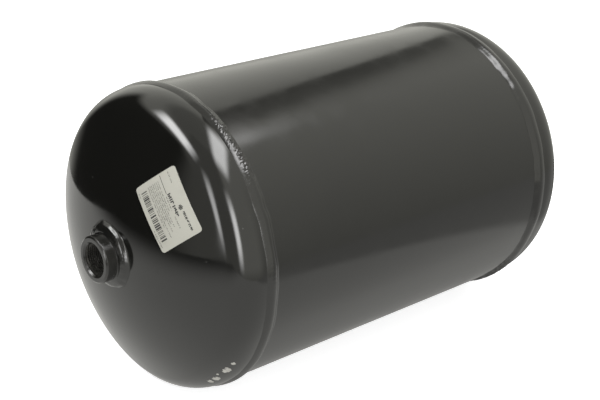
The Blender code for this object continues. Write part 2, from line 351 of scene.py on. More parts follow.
def cut_hole(obj, radius, low, high, matrix):
    """Drills a round hole through a piece and leaves the result as plain mesh."""
    points, faces = turned([(radius, high), (radius, low), (0.1 * MM, low), (0.1 * MM, high)], 96)
    cutter = new_object("hole_cutter", placed(points, matrix), faces, obj.data.materials[0])
    boolean = obj.modifiers.new("Hole", "BOOLEAN")
    boolean.operation = "DIFFERENCE"
    boolean.solver = "EXACT"
    boolean.object = cutter
    graph = bpy.context.evaluated_depsgraph_get()
    drilled = bpy.data.meshes.new_from_object(obj.evaluated_get(graph))
    obj.modifiers.clear()
    old = obj.data
    obj.data = drilled
    bpy.data.meshes.remove(old)
    bpy.data.objects.remove(cutter, do_unlink=True)
    drilled.set_sharp_from_angle(angle=math.radians(40))


def make_shell(paint):
    """The rolled tube, drawn in slightly beside its girth welds and drilled for the drain port."""
    low, high = TOE - SHELL_TUCK, REAR_TOE + SHELL_TUCK
    inner = SHELL_RADIUS - WALL
    outline = line((SHELL_RADIUS, -low - BEVEL), (SHELL_RADIUS, -high + BEVEL), 64)
    outline += [(SHELL_RADIUS, -high + BEVEL), (SHELL_RADIUS - BEVEL, -high)]
    outline += line((inner, -high), (inner, -low), 12)
    outline += [(inner, -low), (SHELL_RADIUS - BEVEL, -low)]

    def shape(r, z, angle):
        places = on_axis(r, z, angle)
        strength = 0.6 + 0.4 * uneven(places, 150 * MM, 4) ** 2 / 2
        wave = SHELL_WAVE * uneven(places, 70 * MM, 3) * strength
        front_pull, rear_pull = (np.exp(-(((z + toe) / DRAW_REACH) ** 2)) for toe in (TOE, REAR_TOE))
        return r + wave - DRAW_IN * (front_pull + rear_pull), z

    points, faces = turned(outline, SHELL_SIDES, shape)
    shell = piece("shell_tube", placed(points, SHELL_FRAME), faces, paint, "tank_paint", "shell")
    cut_hole(shell, PORT_HOLE, SHELL_RADIUS - 5 * WALL, SHELL_RADIUS + WALL, DRAIN_FRAME)


def head_skin(offset, tangent_z, crown_steps, knuckle_steps):
    """Crown and knuckle of a head, offset inwards, from its port hole down to tangent_z."""
    crown_centre = (0, tangent_z + DOME_HEIGHT - CROWN_RADIUS)
    crown = CROWN_RADIUS - offset
    points = arc(crown_centre, crown, math.asin(PORT_HOLE / crown), CROWN_END, crown_steps)
    knuckle_centre = (HEAD_RADIUS - KNUCKLE_RADIUS, tangent_z)
    points += arc(knuckle_centre, KNUCKLE_RADIUS - offset, CROWN_END, math.pi / 2, knuckle_steps)[1:]
    return points


def make_head(name, bead, land, matrix, paint, seed):
    """A pressed torispherical head with a joggled lip inside the shell."""
    tangent = bead + land
    shoulder = SHELL_TUCK + ROOT_GAP
    outline = head_skin(0, tangent, 34, 24)
    outline += [
        (HEAD_RADIUS, shoulder + BEVEL),
        (HEAD_RADIUS - BEVEL, shoulder),
        (LIP_RADIUS, shoulder),
        (LIP_RADIUS, -LIP_LENGTH),
        (LIP_RADIUS - WALL, -LIP_LENGTH),
        (LIP_RADIUS - WALL, shoulder),
    ]
    outline += head_skin(WALL, tangent, 12, 10)[::-1]

    def shape(r, z, angle):
        places = on_axis(r, z, angle)
        fade = smoothstep(z, tangent, tangent + 12 * MM) * smoothstep(r, 16 * MM, 34 * MM)
        wave = HEAD_WAVE * uneven(places, 58 * MM, seed)
        return r, z + wave * fade

    points, faces = turned(outline, HEAD_SIDES, shape)
    piece(name + "_dished", placed(points, matrix), faces, paint, "tank_paint", name)


# ---------------------------------------------------------------- welds


def make_girth_weld(name, bead, matrix, paint, seed):
    """A girth weld: a low crown with faint crescent ripples and one rough stretch.

    t is 0 at its toe on the head and 1 at its toe on the shell.
    """
    across = 17
    t = np.linspace(0, 1, across)
    outline = [(HEAD_RADIUS + (SHELL_RADIUS - HEAD_RADIUS) * i, bead * (1 - i)) for i in t]
    outline += [
        (SHELL_RADIUS - WELD_DEPTH, 0.8 * MM),
        (LIP_RADIUS + 0.1 * MM, SHELL_TUCK + 0.8 * MM),
        (HEAD_RADIUS - WELD_DEPTH, bead - 0.8 * MM),
    ]
    t = t[:, None]

    def shape(r, z, angle):
        r, z = r.copy(), z.copy()
        top = slice(across)
        places = on_axis(r[top], z[top], angle[top])
        head_toe = 0.22 * MM * uneven(places[:1], 24 * MM, seed)
        shell_toe = 0.3 * MM * uneven(places[-1:], 13 * MM, seed + 1)
        z[top] += head_toe * (1 - t) + shell_toe * t
        rise = np.sin(math.pi * t) ** (0.9 + 0.6 * t)
        lag = 2.6 * MM * (2 * t - 1) ** 2
        phase = (angle[top] * SHELL_RADIUS + lag) / BEAD_RIPPLE * math.tau
        ripple = np.sin(phase + uneven(places, 40 * MM, seed + 2))
        lumps = uneven(places, 30 * MM, seed + 3)
        stretch = np.exp(-(((np.degrees(angle[top]) - CRUST_AT) / CRUST_REACH) ** 4))
        band = smoothstep(t, 0.15, 0.45) * (1 - smoothstep(t, 0.88, 1))
        crust = uneven(places, CRUST_GRAIN, seed + 4) * band * stretch
        r[top] += BEAD_CROWN * rise * (0.93 + 0.035 * lumps) - 0.08 * MM
        r[top] += 0.014 * MM * ripple * rise + CRUST_HEIGHT * crust
        r[top] = np.minimum(r[top], BEAD_LIMIT)
        return r, z

    points, faces = turned(outline, BEAD_SIDES, shape)
    piece(name + "_bead", placed(points, matrix), faces, paint, "weld_paint", name, sharp=60)


def make_seam_weld(paint):
    """The longitudinal weld that closes the rolled tube, with fine regular ripples."""
    rows, across = 620, 13
    y = np.linspace(TOE + 0.2 * MM, REAR_TOE - 0.2 * MM, rows)[:, None]
    t = np.linspace(-1, 1, across)[None, :]
    line_points = np.stack(np.broadcast_arrays(0 * t, y, 0 * t), axis=-1)
    width = SEAM_WIDTH / 2 * (1 + 0.05 * uneven(line_points, 18 * MM, 21))
    side = t * width
    ripple = np.sin((y + 1.9 * MM * t**2) / SEAM_RIPPLE * math.tau)
    rise = 1 - t**2
    height = SEAM_CROWN * rise * (1 + 0.05 * uneven(line_points, 30 * MM, 22))
    height += 0.05 * MM * ripple * rise
    radius = SHELL_RADIUS - 0.16 * MM + height
    sunk = np.full_like(radius, SHELL_RADIUS - WELD_DEPTH)

    def grid(level, narrow):
        """Points at a distance from the tank's axis, over a share of the weld's width."""
        turn = SEAM_ANGLE + side * narrow / SHELL_RADIUS
        return np.stack([level * np.cos(turn), y + 0 * level, AXIS_Z + level * np.sin(turn)], axis=-1)

    points, faces = slab(grid(radius, 1), grid(sunk, 0.9))
    piece("seam_bead", points, faces, paint, "weld_paint", "shell_seam_weld", sharp=60)


def port_weld_outline():
    """The (r, height) section of a port's fillet weld, in even steps down to its buried toe."""
    knots = np.concatenate([np.array(PORT_WELD_SECTION) * MM, [(PORT_WELD_RADIUS, -0.5 * MM)]])
    spans = np.concatenate([[0], np.cumsum(np.linalg.norm(np.diff(knots, axis=0), axis=1))])
    along = np.linspace(0, spans[-1], 22)
    return [(np.interp(a, spans, knots[:, 0]), np.interp(a, spans, knots[:, 1])) for a in along]


def make_port_weld(name, base_z, drop, matrix, paint, seed):
    """A port's fillet weld. drop(r, angle) is how far the plate falls away from base_z."""
    top = port_weld_outline()
    count = len(top)
    outline = top + [(PORT_WELD_RADIUS - 2 * MM, -1.5 * MM), (15.7 * MM, -1.5 * MM)]

    def shape(r, z, angle):
        places = on_axis(r, z, angle)
        edge = smoothstep(r, 16 * MM, PORT_WELD_RADIUS)
        spur = np.exp(-(((np.degrees(angle) - SPUR_AT) / SPUR_REACH) ** 2))
        spread = (0.2 * MM * uneven(places * [1, 1, 0], 9 * MM, seed) + SPUR * spur) * edge
        lag = 1.6 * MM * (2 * edge - 1) ** 2
        ripple = np.sin((angle * 20 * MM + lag) / PORT_RIPPLE * math.tau)
        bumps = 0.03 * MM * ripple + 0.07 * MM * uneven(places, 7 * MM, seed + 1)
        on_top = np.arange(len(outline))[:, None] < count
        z = z + np.where(on_top, bumps * smoothstep(r, 15.9 * MM, 17.5 * MM), 0)
        return r + spread, base_z + z - drop(r, angle)

    points, faces = turned(outline, 2 * BOSS_SIDES, shape)
    piece(name + "_fillet", placed(points, matrix), faces, paint, "weld_paint", name, sharp=60)


def head_drop(r, angle):
    """A head falls away evenly all round its port."""
    return CROWN_RADIUS - np.sqrt(CROWN_RADIUS**2 - r**2)


def shell_drop(r, angle):
    """The shell falls away round the tank, and the weld follows it more towards its outer toe."""
    fall = SHELL_RADIUS - np.sqrt(SHELL_RADIUS**2 - (r * np.sin(angle)) ** 2)
    return fall * (0.35 + 0.65 * smoothstep(r, 16 * MM, 23 * MM))


# ---------------------------------------------------------------- ports


def boss_outline(face_z):
    """Section of a port boss, with rounded outer edges and a chamfered mouth."""
    back_z = face_z - BOSS_LENGTH
    soft = 0.22 * MM
    slope = math.pi / 4
    outline = [(PORT_MOUTH, face_z - 0.04 * MM), (PORT_MOUTH + 0.12 * MM, face_z)]
    inner_edge = BOSS_RADIUS - BOSS_EDGE
    outline += line((PORT_MOUTH + 0.4 * MM, face_z), (inner_edge - 0.3 * MM, face_z), 3)
    outline += arc((inner_edge - 0.1 * MM, face_z - soft), soft, 0, slope, 3)
    outline += arc((BOSS_RADIUS - soft, face_z - BOSS_EDGE + 0.1 * MM), soft, slope, math.pi / 2, 3)
    outline += line((BOSS_RADIUS, face_z - 1.6 * MM), (BOSS_RADIUS, back_z + BOSS_EDGE), 8)
    outline += arc((BOSS_RADIUS - BOSS_EDGE, back_z + BOSS_EDGE), BOSS_EDGE, math.pi / 2, math.pi, 4)
    outline += line((PORT_RADIUS, back_z), (PORT_RADIUS, face_z - PORT_CHAMFER), 8)
    outline += [(PORT_RADIUS, face_z - PORT_CHAMFER)]
    return outline


def thread_ridge(face_z):
    """The helical ridge of the port's inside thread, which fades out at both of its ends."""
    steps = 72
    top, bottom = face_z - PORT_CHAMFER - 0.4 * MM, face_z - BOSS_LENGTH + 1.4 * MM
    turns = (top - bottom) / THREAD_PITCH
    count = int(turns * steps)
    i = np.arange(count + 1)[:, None]
    angle = i / steps * math.tau
    z = top - i / steps * THREAD_PITCH
    fade = smoothstep(i, 0, steps * 0.6) * (1 - smoothstep(i, count - steps * 0.6, count))
    root = PORT_RADIUS + 0.1 * MM
    crest = PORT_RADIUS + (THREAD_CREST - PORT_RADIUS) * fade
    r = np.concatenate([root + 0 * crest, crest, crest, root + 0 * crest], axis=1)
    level = z + np.array([[0.74, 0.13, -0.13, -0.74]]) * MM
    points = on_axis(r, level, angle)
    faces = grid_faces(count + 1, 4, close_columns=True)
    ends = np.array([[0, 1, 2, 3], [count * 4 + 3, count * 4 + 2, count * 4 + 1, count * 4]])
    return points.reshape(-1, 3), np.concatenate([faces[:, ::-1], ends[:, ::-1]])


def make_boss(name, face_z, matrix, paint, steel):
    """A painted port boss and the bare thread inside it."""
    points, faces = turned(boss_outline(face_z), BOSS_SIDES)
    piece(name + "_turned", placed(points, matrix), faces, paint, "boss_paint", name, sharp=28)
    points, faces = thread_ridge(face_z)
    piece(name + "_thread", placed(points, matrix), faces, steel, "boss_paint", sharp=50)


# ---------------------------------------------------------------- label and plate


def rounded_grid(size, corner, cell):
    """(u, v) points that fill a rectangle with rounded corners, in cells of about one size."""
    half_u, half_v = size[0] / 2, size[1] / 2
    bend = corner * (1 - np.cos(np.linspace(0, math.pi / 2, 6)))
    straight = np.linspace(corner - half_v, half_v - corner, int((size[1] - 2 * corner) / cell) + 2)
    v = np.concatenate([bend[:-1] - half_v, straight, half_v - bend[-2::-1]])
    over = np.maximum(np.abs(v) - (half_v - corner), 0)
    reach = half_u - corner + np.sqrt(np.maximum(corner**2 - over**2, 0))
    share = np.linspace(-1, 1, int(size[0] / cell) + 2)
    return reach[:, None] * share[None, :], np.repeat(v[:, None], len(share), axis=1)


class Print:
    """Raised ink on a sheet, in rectangles given by their left, right, lower and upper edges.

    place(u, v, height) is a point on the sheet, and face is the sheet's thickness.
    """

    def __init__(self, place, face, seed):
        self.place = place
        self.face = face
        self.rng = np.random.default_rng(seed)
        self.marks = []

    def block(self, left, right, low, high):
        """One plain mark."""
        cell = 3 * MM
        u = np.linspace(left, right, 2 + int((right - left) / cell))
        v = np.linspace(low, high, 2 + int((high - low) / cell))
        u, v = np.meshgrid(u, v, indexing="xy")
        self.marks.append(slab(self.place(u, v, self.face + INK), self.place(u, v, self.face)))

    def words(self, left, right, low, high, word=(1.2, 4.0), gap=0.7, weight=0.2):
        """A row of short marks that stand for words, with no lettering."""
        u = left
        while u < right - 0.5 * MM:
            width = min(self.rng.uniform(*word) * MM, right - u)
            self.strokes(u, u + width, low, high, weight)
            u += width + gap * MM

    def strokes(self, left, right, low, high, weight):
        """Upright strokes of uneven height and pitch along one word."""
        height = high - low
        stroke = height * weight
        u = left
        while u < right - stroke:
            top = high - height * self.rng.choice([0, 0, 0.3])
            bottom = low + height * self.rng.choice([0, 0, 0.25])
            self.block(u, u + stroke, bottom, top)
            if self.rng.random() < 0.6:
                level = self.rng.choice([bottom, (bottom + top) / 2, top - stroke])
                self.block(u, u + stroke * 2.4, level, level + stroke)
            u += height * self.rng.choice([0.44, 0.56, 0.66])

    def bars(self, left, right, low, high):
        """A run of upright bars of uneven width."""
        u = left
        while u < right:
            width = self.rng.choice([0.35, 0.35, 0.7, 1.05]) * MM
            self.block(u, u + width, low, high)
            u += width + self.rng.choice([0.35, 0.45, 0.9]) * MM

    def emblem(self, u, v):
        """A plain emblem: four bars that step up and down."""
        for i, height in enumerate((1.6, 2.8, 3.4, 2.2)):
            left = u + (i - 2) * 0.8 * MM
            self.block(left, left + 0.66 * MM, v - height / 2 * MM, v + height / 2 * MM)

    def done(self, name, ink, slot):
        """Makes all the marks one piece."""
        points, faces = merged(self.marks)
        piece(name, points, faces, ink, slot, sharp=50)


def in_mm(*lengths):
    """Lengths that are given in millimetres, in metres."""
    return [length * MM for length in lengths]


def label_place():
    """place(u, v, height) for the paper label: v points away from the tank's axis."""
    centre = Vector((0, TOE - FRONT_APEX + CROWN_RADIUS, AXIS_Z))
    slope = math.asin(LABEL_DISTANCE / CROWN_RADIUS)
    outwards = Vector((math.cos(LABEL_ANGLE), 0, math.sin(LABEL_ANGLE)))
    across = Vector((math.sin(LABEL_ANGLE), 0, -math.cos(LABEL_ANGLE)))
    normal = outwards * math.sin(slope) + Vector((0, -math.cos(slope), 0))
    up = outwards * math.cos(slope) + Vector((0, math.sin(slope), 0))
    turn = Matrix.Rotation(LABEL_TILT, 3, normal)
    across, up, normal = np.array(turn @ across), np.array(turn @ up), np.array(normal)
    centre = np.array(centre)

    def place(u, v, height):
        direction = normal * CROWN_RADIUS + u[..., None] * across + v[..., None] * up
        direction /= np.linalg.norm(direction, axis=-1)[..., None]
        return centre + direction * (CROWN_RADIUS + STUCK_ON + height)

    return place


def plate_place(u, v, height):
    """place(u, v, height) for the rating plate: u runs towards the front, v is up."""
    radius = SHELL_RADIUS + STUCK_ON + height
    angle = math.pi - v / radius
    along = PLATE_Y - u + 0 * radius
    return np.stack([radius * np.cos(angle), along, AXIS_Z + radius * np.sin(angle)], axis=-1)


def make_label(paper, ink):
    """The paper label and its print, bar pattern first."""
    place = label_place()
    u, v = rounded_grid(LABEL_SIZE, LABEL_CORNER, 1.5 * MM)
    points, faces = slab(place(u, v, PAPER), place(u, v, 0 * MM))
    piece("paper_label", points, faces, paper, "label", "product_label", sharp=50)

    sheet = Print(place, PAPER, 5)
    sheet.bars(*in_mm(-17.4, 15.9, -13.9, -9.0))
    for edges in (
        (-18.5, -15.0, -16.3, -15.4),
        (7.4, 19.2, -16.3, -15.2),
        (-7.1, 2.6, 3.0, 3.9),
        (6.5, 14.4, 3.0, 3.9),
        (-20.6, -12.3, 10.4, 11.3),
    ):
        sheet.words(*in_mm(*edges))
    for row, end in enumerate((9.0, 17.0, 6.0, 14.0, 9.0, 12.0, 3.0)):
        low = (-7.4 + 1.42 * row) * MM
        sheet.words(-18.5 * MM, end * MM, low, low + 0.8 * MM, word=(2.5, 6))
    sheet.block(*in_mm(-21.2, -8.6, 4.1, 4.5))
    bold = {"word": (7, 8), "gap": 0.9, "weight": 0.34}
    sheet.words(*in_mm(-8.1, 7.3, 4.7, 7.1), **bold)
    sheet.emblem(3.2 * MM, 10.0 * MM)
    sheet.words(*in_mm(6.3, 20.0, 9.7, 11.4), **bold)
    sheet.done("label_print", ink, "label")


def make_rating_plate(metal, ink):
    """The foil plate and its print: a framed heading over five ruled rows."""
    u, v = rounded_grid(PLATE_SIZE, PLATE_CORNER, 2 * MM)
    points, faces = slab(plate_place(u, v, FOIL), plate_place(u, v, 0 * MM))
    piece("rating_foil", points, faces, metal, "rating_plate", "rating_plate", sharp=50)

    sheet = Print(plate_place, FOIL, 8)
    for edges in (  # the frame, and the rule under its heading
        (-28, 28, 17.0, 17.4),
        (-28, 28, -17.4, -17.0),
        (-28, -27.6, -17.0, 17.0),
        (27.6, 28, -17.0, 17.0),
        (-27.6, 27.6, 9.0, 9.25),
    ):
        sheet.block(*in_mm(*edges))
    sheet.words(*in_mm(-25, 6, 11.4, 14.4), word=(6, 9), gap=1.6)
    for row in range(5):
        low = (5.6 - 4.9 * row) * MM
        sheet.words(-25 * MM, -10 * MM, low, low + 1.4 * MM)
        sheet.block(-6 * MM, 25 * MM, low - 0.9 * MM, low - 0.65 * MM)
        sheet.words(-5 * MM, sheet.rng.uniform(8, 22) * MM, low, low + 1.6 * MM)
    sheet.done("rating_print", ink, "rating_plate")


# ---------------------------------------------------------------- materials


class Tree:
    """A short way to write shader nodes: what computes something returns its output socket."""

    def __init__(self, tree):
        self.tree = tree

    def node(self, kind, **settings):
        made = self.tree.nodes.new(kind)
        for name, value in settings.items():
            setattr(made, name, value)
        return made

    def feed(self, socket, value):
        if isinstance(value, bpy.types.NodeSocket):
            self.tree.links.new(value, socket)
        else:
            socket.default_value = value

    def math(self, operation, *values):
        made = self.node("ShaderNodeMath", operation=operation)
        for socket, value in zip(made.inputs, values):
            self.feed(socket, value)
        return made.outputs[0]

    def times(self, first, second):
        return self.math("MULTIPLY", first, second)

    def vector_math(self, operation, first, second, output="Value"):
        made = self.node("ShaderNodeVectorMath", operation=operation)
        self.feed(made.inputs[0], first)
        self.feed(made.inputs[1], second)
        return made.outputs[output]

    def dot(self, first, second):
        return self.vector_math("DOT_PRODUCT", first, second)

    def distance(self, first, second):
        return self.vector_math("DISTANCE", first, second)

    def scaled(self, vector, factors):
        return self.vector_math("MULTIPLY", vector, factors, output="Vector")

    def noise(self, vector, size, detail, roughness=0.5):
        """Noise from 0 to 1 whose features are about size metres across."""
        made = self.node("ShaderNodeTexNoise")
        self.feed(made.inputs["Vector"], vector)
        made.inputs["Scale"].default_value = 1 / size
        made.inputs["Detail"].default_value = detail
        made.inputs["Roughness"].default_value = roughness
        return made.outputs["Fac"]

    def cells(self, vector, size):
        """Distance from the middle of a random cell, in cells."""
        made = self.node("ShaderNodeTexVoronoi")
        self.feed(made.inputs["Vector"], vector)
        made.inputs["Scale"].default_value = 1 / size
        return made.outputs["Distance"]

    def ramp(self, value, low, high, start=0.0, end=1.0, smooth=True):
        """From start where the value is low to end where it is high."""
        made = self.node("ShaderNodeMapRange", interpolation_type="SMOOTHSTEP" if smooth else "LINEAR")
        for socket, number in zip(made.inputs, (value, low, high, start, end)):
            self.feed(socket, number)
        return made.outputs[0]

    def mix(self, factor, first, second):
        """A blend of two colours, each an (r, g, b) or a socket."""
        made = self.node("ShaderNodeMix", data_type="RGBA")
        self.feed(made.inputs[0], factor)
        for socket, colour in zip(made.inputs[6:8], (first, second)):
            self.feed(socket, colour if isinstance(colour, bpy.types.NodeSocket) else (*colour, 1))
        return made.outputs[2]

    def bump(self, height, distance, before=None):
        made = self.node("ShaderNodeBump")
        made.inputs["Strength"].default_value = 1
        made.inputs["Distance"].default_value = distance
        self.feed(made.inputs["Height"], height)
        if before:
            self.feed(made.inputs["Normal"], before)
        return made.outputs[0]


def new_material(name):
    """A Principled material, its tree, its shader and a socket for places on the object in metres."""
    material = bpy.data.materials.new(name)
    material.use_nodes = True
    tree = Tree(material.node_tree)
    shader = material.node_tree.nodes["Principled BSDF"]
    places = tree.node("ShaderNodeTexCoord").outputs["Object"]
    return material, tree, shader, places


def set_surface(tree, shader, colour, roughness, normal=None):
    """Colour, roughness and bumps of a Principled shader."""
    tree.feed(shader.inputs["Base Color"], colour)
    tree.feed(shader.inputs["Roughness"], roughness)
    if normal:
        tree.feed(shader.inputs["Normal"], normal)


def chip_mask(tree, places):
    """Ragged spots on the front knuckle where the paint is knocked off, 0 to 1."""
    ragged = tree.noise(places, 1.5 * MM, 3, 0.6)
    wavy = tree.noise(places, 4.5 * MM, 2)
    mask = None
    for radius, degrees, beyond, size in CHIPS:
        angle = math.radians(degrees)
        x, z = radius * MM * math.cos(angle), AXIS_Z + radius * MM * math.sin(angle)
        reach = tree.math("DIVIDE", tree.distance(places, (x, TOE - beyond * MM, z)), size * MM)
        edge = tree.math("ADD", tree.times(ragged, 1.6), tree.times(wavy, 1.6))
        spot = tree.ramp(tree.math("ADD", reach, edge), 2.45, 2.3)
        mask = spot if mask is None else tree.math("MAXIMUM", mask, spot)
    return mask


def paint_material(name, peel, roughness, chips=False):
    """Gloss black paint: a faint orange peel, dust nibs and uneven gloss."""
    material, tree, shader, places = new_material(name)
    colour = tree.mix(tree.noise(places, 60 * MM, 3), *PAINT_TONES)
    haze = tree.noise(places, 22 * MM, 4, 0.6)
    gloss = tree.ramp(haze, 0.3, 0.75, *roughness)
    dust = tree.ramp(tree.noise(places, 1.6 * MM, 2), 0.72, 0.8)
    colour = tree.mix(tree.times(dust, 0.35), colour, DUST_TONE)
    normal = tree.bump(tree.noise(places, 2.6 * MM, 1), peel)
    nibs = tree.ramp(tree.cells(places, 16 * MM), 0.035, 0.0)
    normal = tree.bump(nibs, 0.12 * MM, normal)
    if chips:
        mask = chip_mask(tree, places)
        primer = tree.mix(tree.noise(places, 1.2 * MM, 3), *PRIMER_TONES)
        colour = tree.mix(mask, colour, primer)
        gloss = tree.math("MAXIMUM", gloss, tree.times(mask, 0.55))
        normal = tree.bump(mask, -0.08 * MM, normal)
    set_surface(tree, shader, colour, gloss, normal)
    shader.inputs["IOR"].default_value = PAINT_IOR
    return material


def weld_material():
    """Paint over weld metal: uneven in gloss and finely pitted."""
    material, tree, shader, places = new_material("weld_paint")
    colour = tree.mix(tree.noise(places, 9 * MM, 3), *WELD_TONES)
    gloss = tree.ramp(tree.noise(places, 5 * MM, 4, 0.6), 0.3, 0.75, 0.1, 0.24)
    pits = tree.noise(places, 0.8 * MM, 3, 0.6)
    set_surface(tree, shader, colour, gloss, tree.bump(pits, 0.02 * MM))
    shader.inputs["IOR"].default_value = PAINT_IOR
    return material


def boss_material():
    """Thin paint over a turned boss, scuffed here and there."""
    material, tree, shader, places = new_material("boss_paint")
    tone = tree.noise(places, 6 * MM, 4, 0.6)
    scuffs = tree.ramp(tree.noise(places, 3 * MM, 5, 0.7), 0.66, 0.74)
    colour = tree.mix(tree.times(scuffs, 0.5), tree.mix(tone, *BOSS_TONES), SCUFF_TONE)
    gloss = tree.ramp(tone, 0.3, 0.75, 0.12, 0.3)
    set_surface(tree, shader, colour, gloss, tree.bump(tree.noise(places, 1.4 * MM, 3), 0.02 * MM))
    shader.inputs["IOR"].default_value = PAINT_IOR
    return material


def thread_material():
    """Dark phosphated steel of the threads."""
    material, tree, shader, places = new_material("thread_steel")
    tone = tree.noise(places, 2.5 * MM, 4, 0.6)
    gloss = tree.ramp(tone, 0.3, 0.7, 0.2, 0.36)
    normal = tree.bump(tree.noise(places, 0.5 * MM, 2), 0.01 * MM)
    set_surface(tree, shader, tree.mix(tone, *THREAD_TONES), gloss, normal)
    shader.inputs["Metallic"].default_value = 0.7
    return material


def paper_material():
    """Matt coated paper with a faint fibre and a little grime."""
    material, tree, shader, places = new_material("label_paper")
    fibre = tree.noise(places, 0.7 * MM, 4, 0.6)
    grime = tree.ramp(tree.noise(places, 14 * MM, 4, 0.6), 0.45, 0.8)
    colour = tree.mix(tree.times(grime, 0.35), tree.mix(fibre, *PAPER_TONES), GRIME_TONE)
    gloss = tree.ramp(fibre, 0.3, 0.7, 0.42, 0.56)
    set_surface(tree, shader, colour, gloss, tree.bump(fibre, 0.006 * MM))
    return material


def ink_material():
    """Thermal print: nearly black and slightly patchy."""
    material, tree, shader, places = new_material("print_ink")
    patchy = tree.noise(places, 0.5 * MM, 3, 0.6)
    gloss = tree.ramp(patchy, 0.3, 0.7, 0.4, 0.6)
    set_surface(tree, shader, tree.mix(patchy, *INK_TONES), gloss)
    return material


def plate_material():
    """Brushed aluminium foil, brushed along the tank."""
    material, tree, shader, places = new_material("plate_aluminium")
    brushed = tree.noise(tree.scaled(places, (1, 0.04, 1)), 0.25 * MM, 2)
    smudge = tree.noise(places, 12 * MM, 4, 0.6)
    gloss = tree.math("ADD", tree.ramp(smudge, 0.3, 0.7, 0.2, 0.36), tree.times(brushed, 0.1))
    normal = tree.bump(brushed, 0.008 * MM)
    set_surface(tree, shader, tree.mix(smudge, *FOIL_TONES), gloss, normal)
    shader.inputs["Metallic"].default_value = 1.0
    return material


# ---------------------------------------------------------------- studio


def towards(azimuth, elevation=0.0):
    """Unit vector at an azimuth from +Y towards -X, and an elevation, in degrees."""
    a, e = math.radians(azimuth), math.radians(elevation)
    return Vector((-math.sin(a) * math.cos(e), math.cos(a) * math.cos(e), math.sin(e)))


def sky_patch(tree, ray, height, azimuth, reach, low, high, soft):
    """1 inside a patch of the surroundings and 0 outside it. All its measures are in degrees."""
    ahead = tree.dot(ray, towards(azimuth))
    beside = tree.dot(ray, towards(azimuth + 90))
    turn = tree.math("ABSOLUTE", tree.math("DEGREES", tree.math("ARCTAN2", beside, ahead)))
    inside = tree.ramp(turn, reach + soft, reach - soft)
    above = tree.ramp(height, low - soft / 2, low + soft / 2)
    below = tree.ramp(height, high + soft / 2, high - soft / 2)
    return tree.times(inside, tree.times(above, below))


def sky_gap(tree, ray, start, end, core, reach):
    """1 in a gap of the tent along the line between two directions.

    One side of it is sharp, and on the other it is dark over its core and fades over its reach. Both
    are in degrees, at the start and at the end.
    """
    first, last = towards(*start), towards(*end)
    middle = (first + last).normalized()
    along = (last - first).normalized()
    across = middle.cross(along)
    depth = tree.dot(ray, middle)
    u = tree.math("DIVIDE", tree.dot(ray, along), depth)
    v = tree.math("DIVIDE", tree.dot(ray, across), depth)
    half = math.tan(first.angle(last) / 2)
    narrow, wide = [
        tree.ramp(u, -half, half, math.radians(width[0]), math.radians(width[1]), smooth=False)
        for width in (core, reach)
    ]
    dark = tree.ramp(tree.math("DIVIDE", v, narrow), -1.3, -0.7)
    fade = tree.ramp(tree.math("DIVIDE", v, wide), -1.0, 0.0, smooth=False)
    shade = tree.times(tree.math("ADD", dark, fade), 0.5)
    sharp = tree.ramp(v, 0.012, -0.012)
    length = tree.ramp(tree.math("ABSOLUTE", u), half * 1.25, half * 0.95)
    front = tree.ramp(depth, 0.0, 0.1)
    return tree.times(front, tree.times(sharp, tree.times(shade, length)))


def shaded(tree, level, patch, shade):
    """The level, brought to a shade of its own inside a patch."""
    outside = tree.times(level, tree.math("SUBTRACT", 1.0, patch))
    return tree.math("ADD", outside, tree.times(patch, shade))


def make_surroundings():
    """A white tent with a dark opening on one side. The camera itself sees plain white."""
    world = bpy.data.worlds.new("studio")
    world.use_nodes = True
    tree = Tree(world.node_tree)
    background = world.node_tree.nodes["Background"]
    ray = tree.node("ShaderNodeTexCoord").outputs["Generated"]
    height = tree.math("DEGREES", tree.math("ARCSINE", tree.dot(ray, (0, 0, 1))))
    level = tree.ramp(height, -15, 46, TENT_LOW, TENT_HIGH, smooth=False)
    level = tree.times(level, tree.ramp(height, 52, 66, 1, TENT_TOP / TENT_HIGH))
    for *edges, shade in TENT_WALLS:
        level = shaded(tree, level, sky_patch(tree, ray, height, *edges), shade)
    gap = sky_gap(tree, ray, *TENT_GAP)
    level = tree.times(level, tree.ramp(gap, 0, 1, 1, GAP_LEVEL, smooth=False))
    seen = tree.node("ShaderNodeLightPath").outputs["Is Camera Ray"]
    strength = tree.math("ADD", tree.times(level, tree.math("SUBTRACT", 1.0, seen)), seen)
    tree.feed(background.inputs["Color"], tree.mix(seen, TENT_TINT, (1, 1, 1)))
    tree.feed(background.inputs["Strength"], strength)
    bpy.context.scene.world = world


def add_softbox(name, azimuth, elevation, aim, distance, size, radiance, fade, turn):
    """A softbox that faces a point from a direction, unseen by the camera.

    It fades towards its edges over a share of its size, and is turned in its own plane. Its angles
    are in degrees.
    """
    light = bpy.data.lights.new(name, "AREA")
    light.shape = "RECTANGLE"
    light.size, light.size_y = size
    light.energy = radiance * math.pi * size[0] * size[1]
    light.use_nodes = True
    tree = Tree(light.node_tree)
    across = tree.node("ShaderNodeSeparateXYZ")
    tree.feed(across.inputs[0], tree.node("ShaderNodeNewGeometry").outputs["Parametric"])
    falls = []
    for socket in across.outputs[:2]:
        off_centre = tree.math("ABSOLUTE", tree.math("SUBTRACT", socket, 0.5))
        falls.append(tree.ramp(tree.math("SUBTRACT", 0.5, off_centre), 0.0, fade))
    tree.feed(light.node_tree.nodes["Emission"].inputs["Strength"], tree.times(*falls))
    obj = bpy.data.objects.new(name, light)
    direction = towards(azimuth, elevation)
    obj.location = Vector(aim) + direction * distance
    facing = direction.to_track_quat("Z", "Y").to_matrix()
    obj.rotation_euler = (facing @ Matrix.Rotation(math.radians(turn), 3, "Z")).to_euler()
    obj.visible_camera = False
    bpy.context.scene.collection.objects.link(obj)


